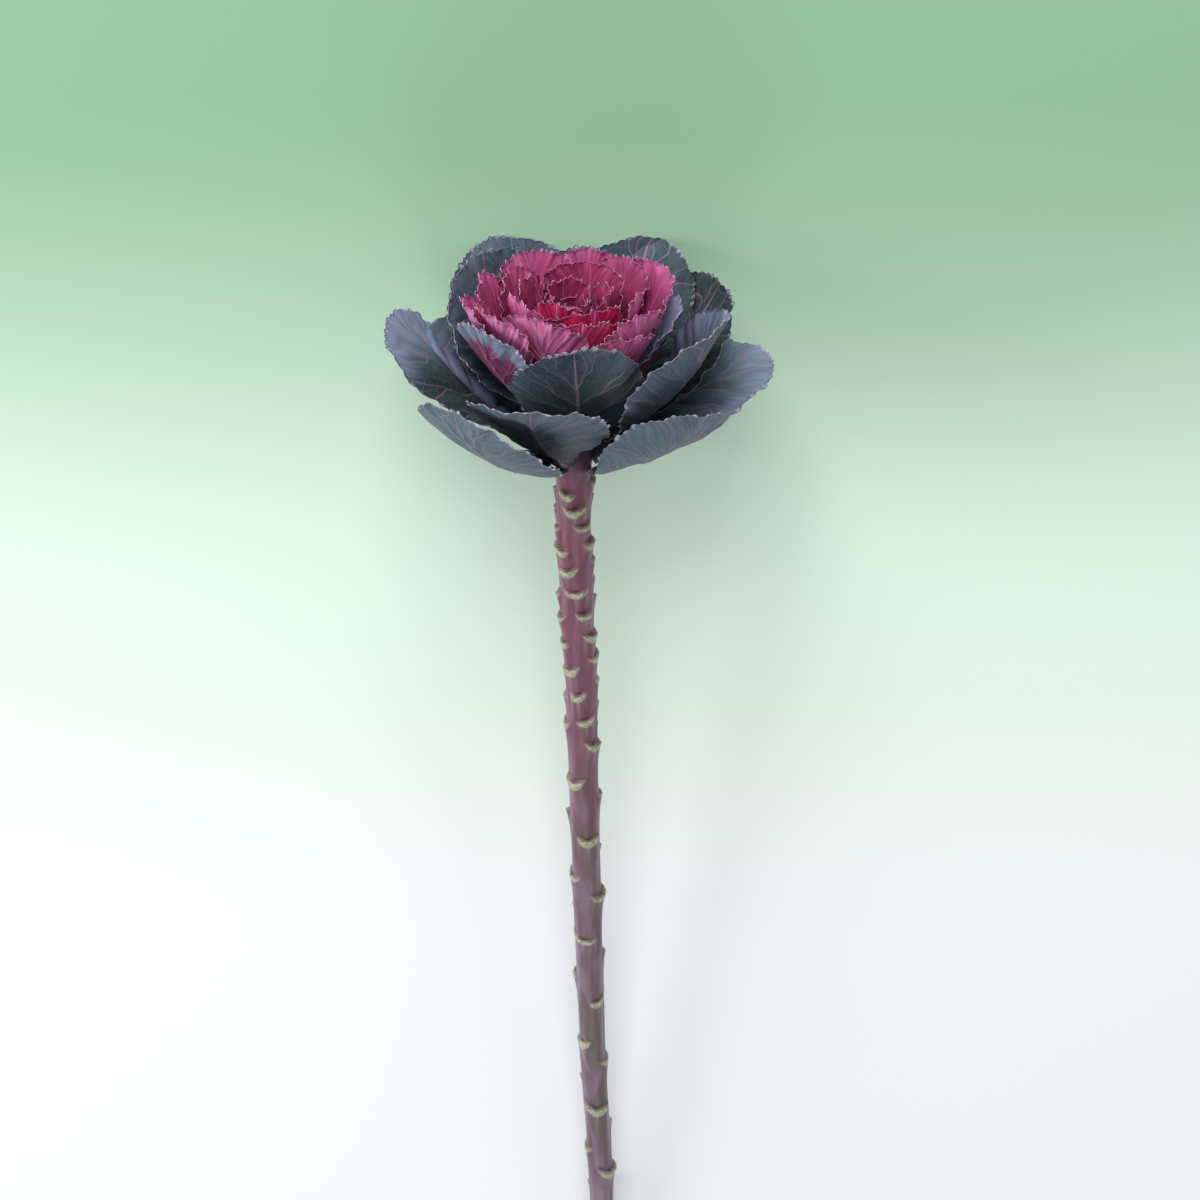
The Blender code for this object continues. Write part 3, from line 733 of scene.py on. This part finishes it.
# A kind of leaf's material: its name, the prefix of its colour settings, palette, side veins to a half,
# stripes along t, contrast of the stripes, strength of the net, roughness and share of light let through
LeafLook = namedtuple("LeafLook", "name kind palette veins stripes contrast net gloss through")
GREEN_LOOK = LeafLook("blue_green_kale_leaf", "green", GREEN_PALETTE, GREEN_FORM.veins,
                      44.0, 0.35, 0.25, 0.55, 0.0)
TWO_TONE_LOOK = LeafLook("two_tone_kale_leaf", "two_tone", TWO_TONE_PALETTE, TWO_TONE_FORM.veins,
                         36.0, 0.5, 0.15, 0.55, 0.1)
HEART_LOOK = LeafLook("magenta_kale_leaf", "heart", HEART_PALETTE, HEART_FORM.veins,
                      44.0, 0.7, 0.1, 0.5, 0.15)


def colour_setting(name, description, code):
    """A colour that a user can change, with an sRGB hex colour as its default."""
    return FloatVectorProperty(name=name, description=description, default=paint(code), subtype="COLOR",
                               size=4, min=0.0, max=1.0)


class KaleColours(bpy.types.PropertyGroup):
    """Main colours of the leaves, the stem and the floor."""

    green_deep: colour_setting("Green deep", "Darker tissue of the green leaves", GREEN_PALETTE.deep)
    green_light: colour_setting("Green light", "Lighter tissue of the green leaves", GREEN_PALETTE.light)
    green_bloom: colour_setting("Green bloom", "Violet bloom on the green leaves", GREEN_PALETTE.bloom)
    green_wax: colour_setting("Green wax", "Pale wax on the green leaves", GREEN_PALETTE.wax)
    two_tone_light: colour_setting("Two-tone green", "Tissue of the margin", TWO_TONE_PALETTE.light)
    two_tone_bloom: colour_setting("Two-tone bloom", "Bloom on the margin", TWO_TONE_PALETTE.bloom)
    two_tone_glow: colour_setting("Two-tone magenta", "Magenta of the middle", TWO_TONE_PALETTE.glow)
    heart_deep: colour_setting("Heart deep", "Darker tissue of the heart", HEART_PALETTE.deep)
    heart_light: colour_setting("Heart light", "Lighter tissue of the heart", HEART_PALETTE.light)
    heart_bloom: colour_setting("Heart bloom", "Pink bloom on the heart's margins", HEART_PALETTE.bloom)
    heart_wax: colour_setting("Heart wax", "Pale wax on the heart's outer faces", HEART_PALETTE.wax)
    heart_glow: colour_setting("Heart glow", "Crimson where light comes through", HEART_PALETTE.glow)
    stem_deep: colour_setting("Stem deep", "Darker streaks of the stem", "#64293F")
    stem_light: colour_setting("Stem light", "Lighter streaks of the stem", "#80435A")
    stem_low: colour_setting("Stem low", "Skin low on the stem", "#573B45")
    stem_olive: colour_setting("Stem olive", "Green patches low on the stem", "#51493F")
    stem_wax: colour_setting("Stem wax", "Waxy film in patches on the stem", "#7A6C7E")
    # The floor's fade is partly painted light: paler where the head's shadow falls, deeper mint beyond the
    # head where the top light is strongest
    floor_far: colour_setting("Floor beyond the head", "Mint of the floor", "#8CB493")
    floor_middle: colour_setting("Floor at the stem's top", "Pale green of the floor", "#DBEEDE")
    floor_near: colour_setting("Floor at the stem's cut", "Near white of the floor", "#F1F2F5")


def leaf_colours(palette, colours, kind):
    """A palette in linear colours, with those that the user can set taken from the settings."""
    shades = {}
    for field, code in zip(Palette._fields, palette):
        shades[field] = tuple(getattr(colours, f"{kind}_{field}", None) or paint(code))
    return Palette(**shades)


def grain_and_streaks(node, place, grain_scale, uv_map, stretch):
    """Fine grain, and streaks drawn out along a UV map."""
    grain = node("TexNoise", {"Vector": place, "Scale": grain_scale, "Detail": 2.0})
    drawn = node("Mapping", {"Vector": uv_map, "Scale": stretch})
    return grain, node("TexNoise", {"Vector": drawn, "Scale": 1.0, "Detail": 4.0}, noise_dimensions="2D")


def kale_leaf(look, colours):
    """Fresh kale leaf: cabbage tissue under a waxy bloom, with branched side veins and a fine net.

    The wax scatters light, so the surface is satin and paler towards the margin; the veins are lighter
    lines in it and the cut edge of the blade shows as a pale thread.
    """
    material, node, read = new_material(look.name, "bloom", "wax", "flush", "glow", "edge", "tooth",
                                        "along", "upper")
    palette = leaf_colours(look.palette, colours, look.kind)
    place = node("TexCoord", output="Object")
    vein_uv = node("UVMap", uv_map="veins")
    flat_uv = node("UVMap", uv_map="flat")

    # Clouds 25 mm wide, grain 1.5 mm wide, and streaks 2 mm wide along the side veins
    clouds = node("TexNoise", {"Vector": place, "Scale": 40.0, "Detail": 3.0})
    clouds = node("MapRange", {"Value": clouds, "From Min": 0.35, "From Max": 0.65})
    grain, streaks = grain_and_streaks(node, place, 650.0, vein_uv, (look.stripes, 1.6, 1.0))

    # Side veins: lines across t that fork in two and thin out to the margin, some strong, some weak
    across = node("SeparateXYZ", {"Vector": vein_uv})
    outward = across.node.outputs["Y"]
    offset = across
    for operation, number in (("MULTIPLY", look.veins), ("FRACT", 0.0), ("SUBTRACT", 0.5),
                              ("ABSOLUTE", 0.0)):
        offset = node("Math", {0: offset, 1: number}, operation=operation)
    fork = node("Math", {0: outward, 1: FORK_START}, operation="SUBTRACT", use_clamp=True)
    fork = node("Math", {0: fork, 1: FORK_SPREAD}, operation="MULTIPLY")
    apart = offset
    width = node("MapRange", {"Value": outward, "To Min": 0.052, "To Max": 0.016})
    for operation, number in (("SUBTRACT", fork), ("ABSOLUTE", 0.0), ("DIVIDE", width)):
        apart = node("Math", {0: apart, 1: number}, operation=operation)
    side_vein = node("MapRange", {"Value": apart, "From Min": 1.0, "From Max": 0.35},
                     interpolation_type="SMOOTHSTEP")
    strength = node("MapRange", {"Value": clouds, "To Min": 0.45, "To Max": 1.0})
    side_vein = node("Math", {0: side_vein, 1: strength}, operation="MULTIPLY")

    # Fine net: the walls of cells 4 mm wide
    wall = node("TexVoronoi", {"Vector": flat_uv, "Scale": 250.0}, voronoi_dimensions="2D",
                feature="DISTANCE_TO_EDGE")
    net = node("MapRange", {"Value": wall, "From Min": 0.07, "From Max": 0.01, "To Max": look.net})

    # Midrib: a band that narrows from the foot to the tip
    from_rib = node("Math", {0: node("SeparateXYZ", {"Vector": flat_uv})}, operation="ABSOLUTE")
    width = node("MapRange", {"Value": read["along"], "To Min": 0.0021, "To Max": 0.0003})
    from_rib = node("Math", {0: from_rib, 1: width}, operation="DIVIDE")
    rib = node("MapRange", {"Value": from_rib, "From Min": 1.0, "From Max": 0.5},
               interpolation_type="SMOOTHSTEP")
    line = node("Math", {0: side_vein, 1: net}, operation="MAXIMUM")
    line = node("Math", {0: line, 1: rib}, operation="MAXIMUM")

    # Tissue, and what lies over it, one layer after another: glow is painted light that comes through the
    # heart's leaves and the two-tone leaves' magenta, and the flush is purple with painted shade at the
    # foot
    patchy = node("MapRange", {"Value": streaks, "From Min": 0.32, "From Max": 0.66,
                               "To Min": 1.0 - look.contrast, "To Max": 1.0 + look.contrast})
    layers = [(clouds, palette.light)]
    for key in ("glow", "wax", "bloom", "flush"):
        share = node("Math", {0: read[key], 1: patchy}, operation="MULTIPLY", use_clamp=True)
        layers.append((share, getattr(palette, key)))
    vein_colour = node("Mix", {"Factor": read["upper"], 6: palette.vein_under, 7: palette.vein_upper},
                       output=2, data_type="RGBA")
    thread = {"Value": read["edge"], "From Min": 0.45, "From Max": 0.05, "To Max": 0.7}
    tipped = {"Value": read["tooth"], "From Min": 0.45, "From Max": 0.8, "To Max": 0.9}
    layers.append((node("Math", {0: line, 1: 0.85}, operation="MULTIPLY"), vein_colour))
    layers.append((node("MapRange", thread), palette.edge))
    layers.append((node("MapRange", tipped), palette.tip))
    colour = palette.deep
    for share, shade in layers:
        colour = node("Mix", {"Factor": share, 6: colour, 7: shade}, output=2, data_type="RGBA")

    rough = node("MapRange", {"Value": grain, "To Min": look.gloss - 0.08, "To Max": look.gloss + 0.1})
    raised = node("Math", {0: streaks, 1: grain}, operation="ADD")
    raised = node("Math", {0: raised, 1: net}, operation="SUBTRACT")
    set_finish(material, {
        "Base Color": colour,
        "Roughness": rough,
        "Normal": node("Bump", {"Height": raised, "Strength": 0.3, "Distance": 0.0003}),
        "Specular IOR Level": 0.3,
    })
    if look.through:
        light_through = {"Subsurface Weight": look.through, "Subsurface Radius": (1.0, 0.4, 0.7),
                         "Subsurface Scale": 0.002}
        set_finish(material, light_through)
    return material


def cabbage_stalk(colours):
    """Living cabbage stalk: mauve skin under a pale waxy film, olive in places, with corky leaf scars."""
    material, node, read = new_material("cabbage_stalk", "face", "hollow", "rim", "cut", "ring", "down",
                                        "base")
    place = node("TexCoord", output="Object")

    # Patches 8 mm wide and 30 mm long, grain 1 mm wide, and streaks 3 mm wide down the stem
    drawn = node("Mapping", {"Vector": place, "Scale": (120.0, 32.0, 120.0)})
    patches = node("TexNoise", {"Vector": drawn, "Scale": 1.0, "Detail": 2.0})
    skin = node("UVMap", uv_map="skin")
    grain, streaks = grain_and_streaks(node, place, 900.0, skin, (300.0, 40.0, 1.0))

    streaked = node("MapRange", {"Value": streaks, "From Min": 0.25, "From Max": 0.75})
    low, rim, crown = (node("Math", {0: read[key], 1: share}, operation="MULTIPLY")
                       for key, share in (("down", 0.85), ("rim", 0.65), ("base", 0.8)))
    olive = node("MapRange", {"Value": patches, "From Min": 0.56, "From Max": 0.42, "To Max": 0.85})
    olive = node("Math", {0: olive, 1: read["down"]}, operation="MULTIPLY")
    waxy = node("MapRange", {"Value": patches, "From Min": 0.48, "From Max": 0.62})
    film = node("MapRange", {"Value": read["down"], "To Min": 0.18, "To Max": 0.6})
    waxy = node("Math", {0: waxy, 1: film}, operation="MULTIPLY")
    grainy = node("MapRange", {"Value": grain, "From Min": 0.35, "From Max": 0.65})
    cork = node("Mix", {"Factor": grainy, 6: paint("#767D56"), 7: paint("#B2B892")},
                output=2, data_type="RGBA")
    dark = node("MapRange", {"Value": read["hollow"], "From Min": 0.25, "From Max": 0.8, "To Max": 0.9})
    pith = node("MapRange", {"Value": read["ring"], "From Min": 0.55, "From Max": 0.75})
    flesh = node("Mix", {"Factor": pith, 6: paint("#DCE0C0"), 7: paint("#B9C296")},
                 output=2, data_type="RGBA")
    layers = (
        (streaked, tuple(colours.stem_light)),
        (low, tuple(colours.stem_low)),
        (olive, tuple(colours.stem_olive)),
        (waxy, tuple(colours.stem_wax)),
        (rim, paint("#BDB2BC")),
        (read["face"], cork),
        (dark, paint("#33232C")),
        (crown, paint("#3A1A28")),
        (read["cut"], flesh),
    )
    colour = tuple(colours.stem_deep)
    for share, shade in layers:
        colour = node("Mix", {"Factor": share, 6: colour, 7: shade}, output=2, data_type="RGBA")
    raised = node("Math", {0: streaks, 1: grain}, operation="ADD")
    set_finish(material, {
        "Base Color": colour,
        "Roughness": 0.5,
        "Normal": node("Bump", {"Height": raised, "Strength": 0.4, "Distance": 0.0003}),
        "Sheen Weight": 0.35,
        "Sheen Tint": paint("#C9C4DC"),
    })
    return material


def matt_floor(colours):
    """Matt painted board with no gloss, so that only shade shows: pale mint that fades to near white. The
    fade
    is partly painted light: paler at the stem's top, where the head's shadow falls, and deeper mint beyond
    the head, where the top light falls strongest.
    """
    material, node, _ = new_material("matt_floor")
    ahead = node("SeparateXYZ", {"Vector": node("TexCoord", output="Object")}, output="Y")
    board = tuple(colours.floor_far)
    # Paler at the stem's top as painted light where the head's shadow falls; deeper mint beyond as painted
    # shade where the top light falls strongest
    for start, end, shade in ((0.36, 0.10, colours.floor_middle), (0.12, -0.08, colours.floor_near)):
        down = node("MapRange", {"Value": ahead, "From Min": start, "From Max": end},
                    interpolation_type="SMOOTHSTEP")
        board = node("Mix", {"Factor": down, 6: board, 7: tuple(shade)}, output=2, data_type="RGBA")
    set_finish(material, {"Base Color": board, "Roughness": 0.9, "Specular IOR Level": 0.1})
    return material


def length_setting(name, description, metres):
    """A length that a user can change."""
    return FloatProperty(name=name, description=description, default=metres, unit="LENGTH")


class KaleSizes(bpy.types.PropertyGroup):
    """Sizes of the finished surface that the CAD solids leave open."""

    green_thickness: length_setting("Green leaf thickness", "A green blade away from its margin", 0.0008)
    heart_thickness: length_setting("Heart leaf thickness", "A magenta blade away from its margin", 0.0006)
    rib_height: length_setting("Midrib height", "How far it stands out of the under face", 0.0013)
    green_tooth: length_setting("Green tooth", "How far it stands out of a green leaf's margin", 0.0015)
    heart_tooth: length_setting("Heart tooth", "How far it stands out of a magenta leaf's margin", 0.0016)
    scar_height: length_setting("Scar height", "How far a leaf scar stands out of the stem", 0.0018)


grown = {}


def head_blades(sizes):
    """The head's blades, worked out once for all the operators."""
    if not grown:
        grown.update(grow_head(sizes))
    return grown


def green_tints(blade, tint):
    """Bloom and wax that thicken towards the margin and the tip, purple with painted shade that fades from
    the foot, and on a leaf with a greener half, a bare low half that is partly painted shade and a high
    half with full bloom and wax that is partly painted sheen.
    """
    outer = np.maximum(ease(blade.edge, 0.016, 0.001), ease(blade.along, 0.60, 1.0))
    foot = ease(blade.along, 0.45, 0.08)
    # The low half of the upper face is left bare, partly as painted shade; the high half takes full bloom
    # and wax, partly as painted sheen
    side = 0.5 + 0.5 * np.tanh(math.copysign(600.0, tint.greener) * blade.flat_x)
    bare = 1.0 - abs(tint.greener) * side * ease(blade.along, 0.85, 0.60)
    outer = np.maximum(outer, abs(tint.greener) * (1.0 - side))
    bloom = (tint.bloom_upper * bare * (0.15 + 0.85 * outer), tint.bloom_under * (0.35 + 0.65 * outer))
    return {
        "bloom": bloom,
        "wax": (tint.wax_upper * bare * (0.3 + 0.7 * outer), tint.wax_under),
        # purple with painted shade at the foot
        "flush": (tint.flush * foot, tint.flush * foot),
        "glow": (0.0, 0.0),
    }


class KALE_OT_stem(bpy.types.Operator):
    """Make the scarred stem with its cut end and crown"""

    bl_idname = "kale.stem"
    bl_label = "Stem"

    def execute(self, context):
        material = cabbage_stalk(context.scene.kale_colours)
        make_piece("stem_with_scars", stem_shell(context.scene.kale_sizes), material, "stem", "stem")
        return {"FINISHED"}


class KALE_OT_heart(bpy.types.Operator):
    """Make the magenta leaves of the heart, in an outer and an inner piece"""

    bl_idname = "kale.heart"
    bl_label = "Heart"

    def execute(self, context):
        sizes = context.scene.kale_sizes
        material = kale_leaf(HEART_LOOK, context.scene.kale_colours)
        shells = []
        for row, blade in head_blades(sizes)["heart"]:
            rim = ease(blade.along, 0.7, 1.0)
            outer = float(ease(row.tip_radius, 0.022, 0.040))
            # glow is painted light that comes through the leaf; the flush is purple with painted shade at
            # the foot, and on the inner leaves painted shade over the whole upper face, deep in the head
            tints = {
                "glow": (0.4 * row.glow, row.glow),
                "bloom": (0.28 * rim * outer, 0.45 * rim * (1.0 - row.glow)),
                "wax": (0.0, (0.35 + 0.35 * outer) * (1.0 - row.glow)),
                "flush": (0.2 * (1.0 - outer) + 0.75 * ease(blade.along, 0.92 - 0.08 * outer, 0.50),
                          (0.85 - 0.35 * outer) * ease(blade.along, 0.80, 0.40)),
            }
            shells.append(blade_shell(blade, sizes.heart_thickness, 0.4 * sizes.rib_height, tints))
        half = len(shells) // 2
        make_piece("heart_inner_leaves", join_shells(shells[:half]), material, "magenta_leaf", "heart")
        make_piece("heart_outer_leaves", join_shells(shells[half:]), material, "magenta_leaf", "heart")
        return {"FINISHED"}


class KALE_OT_two_tone_leaves(bpy.types.Operator):
    """Make the leaves between the heart and the green ones"""

    bl_idname = "kale.two_tone_leaves"
    bl_label = "Two-tone leaves"

    def execute(self, context):
        sizes = context.scene.kale_sizes
        material = kale_leaf(TWO_TONE_LOOK, context.scene.kale_colours)
        for leaf in TWO_TONE_LEAVES:
            blade = head_blades(sizes)[leaf.name]
            green = ease(blade.edge + 0.0015 * np.sin(blade.flat_x * 900.0), 0.0085, 0.0045)
            green = green * (0.1 if leaf.name == "plum_right" else 1.0)
            foot = ease(blade.along, 0.50, 0.15)
            tints = {
                "glow": (1.0 - ease(blade.along, 0.28, 0.48), 1.3 * (1.0 - green)),
                "bloom": (ease(blade.along, 0.3, 0.5), 0.15 * green),
                "wax": (0.4 * ease(blade.along, 0.3, 0.5), 0.20 * green),
                # purple with painted shade at the foot
                "flush": (0.6 * foot, foot),
            }
            shell = blade_shell(blade, sizes.heart_thickness, 0.6 * sizes.rib_height, tints)
            make_piece(leaf.name + "_blade", shell, material, "magenta_leaf", "heart")
        return {"FINISHED"}


class KALE_OT_green_leaves(bpy.types.Operator):
    """Make the green leaves, one piece each"""

    bl_idname = "kale.green_leaves"
    bl_label = "Green leaves"

    def execute(self, context):
        sizes = context.scene.kale_sizes
        material = kale_leaf(GREEN_LOOK, context.scene.kale_colours)
        for leaf in GREEN_LEAVES:
            blade = head_blades(sizes)[leaf.name]
            tints = green_tints(blade, GREEN_TINTS[leaf.name])
            shell = blade_shell(blade, sizes.green_thickness, sizes.rib_height, tints)
            make_piece(leaf.name + "_blade", shell, material, "green_leaf", leaf.name)
        return {"FINISHED"}


# The photograph's camera, in the upright plant's frame
CAMERA_PLACE = (0.01157, -0.8704, 0.4958)
CAMERA_DOWN = math.radians(33.0)
CAMERA_LENS = 70.0
SENSOR = 36.0

# Half the side of the floor
FLOOR = 3.0

# Soft square lights: name, place, the point they face, side, power and colour
HEAD = (0.0, 0.25, 0.07)
LIGHTS = (
    ("top_light", (-0.3, 2.5, 1.4), HEAD, 1.6, 62.0, (1.0, 0.99, 0.98)),
    ("left_light", (-1.5, 0.4, 0.55), HEAD, 0.8, 18.0, (0.98, 0.99, 1.0)),
    ("right_light", (1.5, 0.6, 0.7), HEAD, 0.8, 4.0, (0.98, 0.99, 1.0)),
    ("low_light", (0.0, -1.8, 1.2), (0.0, 0.0, 0.0), 1.2, 11.5, (1.0, 1.0, 0.99)),
)


def add_light(name, place, target, size, power, colour):
    """A soft square area light that faces a point."""
    light = bpy.data.lights.new(name, "AREA")
    light.shape = "SQUARE"
    light.size = size
    light.energy = power
    light.color = colour
    item = place_object(name, light)
    item.location = place
    item.rotation_euler = (Vector(target) - Vector(place)).to_track_quat("-Z", "Y").to_euler()


class KALE_OT_stage(bpy.types.Operator):
    """Make the floor, the lights and the camera"""

    bl_idname = "kale.stage"
    bl_label = "Stage"

    def execute(self, context):
        mesh = bpy.data.meshes.new("floor")
        corners = [(-FLOOR, -FLOOR, 0), (FLOOR, -FLOOR, 0), (FLOOR, FLOOR, 0), (-FLOOR, FLOOR, 0)]
        mesh.from_pydata(corners, [], [(0, 1, 2, 3)])
        mesh.materials.append(matt_floor(context.scene.kale_colours))
        floor = place_object("floor", mesh)

        world = bpy.data.worlds.new("studio")
        context.scene.world = world
        world.use_nodes = True
        sky = world.node_tree.nodes["Background"]
        sky.inputs["Color"].default_value = paint("#F0F4F4")
        sky.inputs["Strength"].default_value = 0.45
        context.scene.view_settings.view_transform = "Standard"
        for light in LIGHTS:
            add_light(*light)

        camera = place_object("camera", bpy.data.cameras.new("camera"))
        camera.data.lens = CAMERA_LENS
        camera.data.sensor_width = SENSOR
        camera.data.sensor_fit = "HORIZONTAL"
        place = Vector(lay_down(np.array(CAMERA_PLACE)))
        no_move = lay_down(np.zeros(3))
        upright_ahead = np.array([0.0, math.cos(CAMERA_DOWN), -math.sin(CAMERA_DOWN)])
        upright_up = np.array([0.0, math.sin(CAMERA_DOWN), math.cos(CAMERA_DOWN)])
        ahead = Vector(lay_down(upright_ahead) - no_move)
        up = Vector(lay_down(upright_up) - no_move)
        turn = Matrix((ahead.cross(up), up, -ahead)).transposed()
        camera.matrix_world = Matrix.LocRotScale(place, turn.to_quaternion(), None)
        context.scene.camera = camera
        return {"FINISHED"}


class KALE_PT_sidebar(bpy.types.Panel):
    """Lists the kale's operators, sizes and colours"""

    bl_label = "Ornamental kale"
    bl_space_type = "VIEW_3D"
    bl_region_type = "UI"
    bl_category = "Kale"

    def draw(self, context):
        for group in (context.scene.kale_sizes, context.scene.kale_colours):
            for name in group.__annotations__:
                self.layout.prop(group, name)
        for operator in OPERATORS:
            self.layout.operator(operator.bl_idname)


OPERATORS = (KALE_OT_stem, KALE_OT_heart, KALE_OT_two_tone_leaves, KALE_OT_green_leaves, KALE_OT_stage)


def register():
    for item in (KaleSizes, KaleColours, *OPERATORS, KALE_PT_sidebar):
        bpy.utils.register_class(item)
    bpy.types.Scene.kale_sizes = bpy.props.PointerProperty(type=KaleSizes)
    bpy.types.Scene.kale_colours = bpy.props.PointerProperty(type=KaleColours)


def unregister():
    del bpy.types.Scene.kale_colours
    del bpy.types.Scene.kale_sizes
    for item in (KALE_PT_sidebar, *reversed(OPERATORS), KaleColours, KaleSizes):
        bpy.utils.unregister_class(item)


def main():
    """Make every piece and the stage."""
    register()
    bpy.ops.kale.stem()
    bpy.ops.kale.heart()
    bpy.ops.kale.two_tone_leaves()
    bpy.ops.kale.green_leaves()
    bpy.ops.kale.stage()


if __name__ == "__main__":
    main()
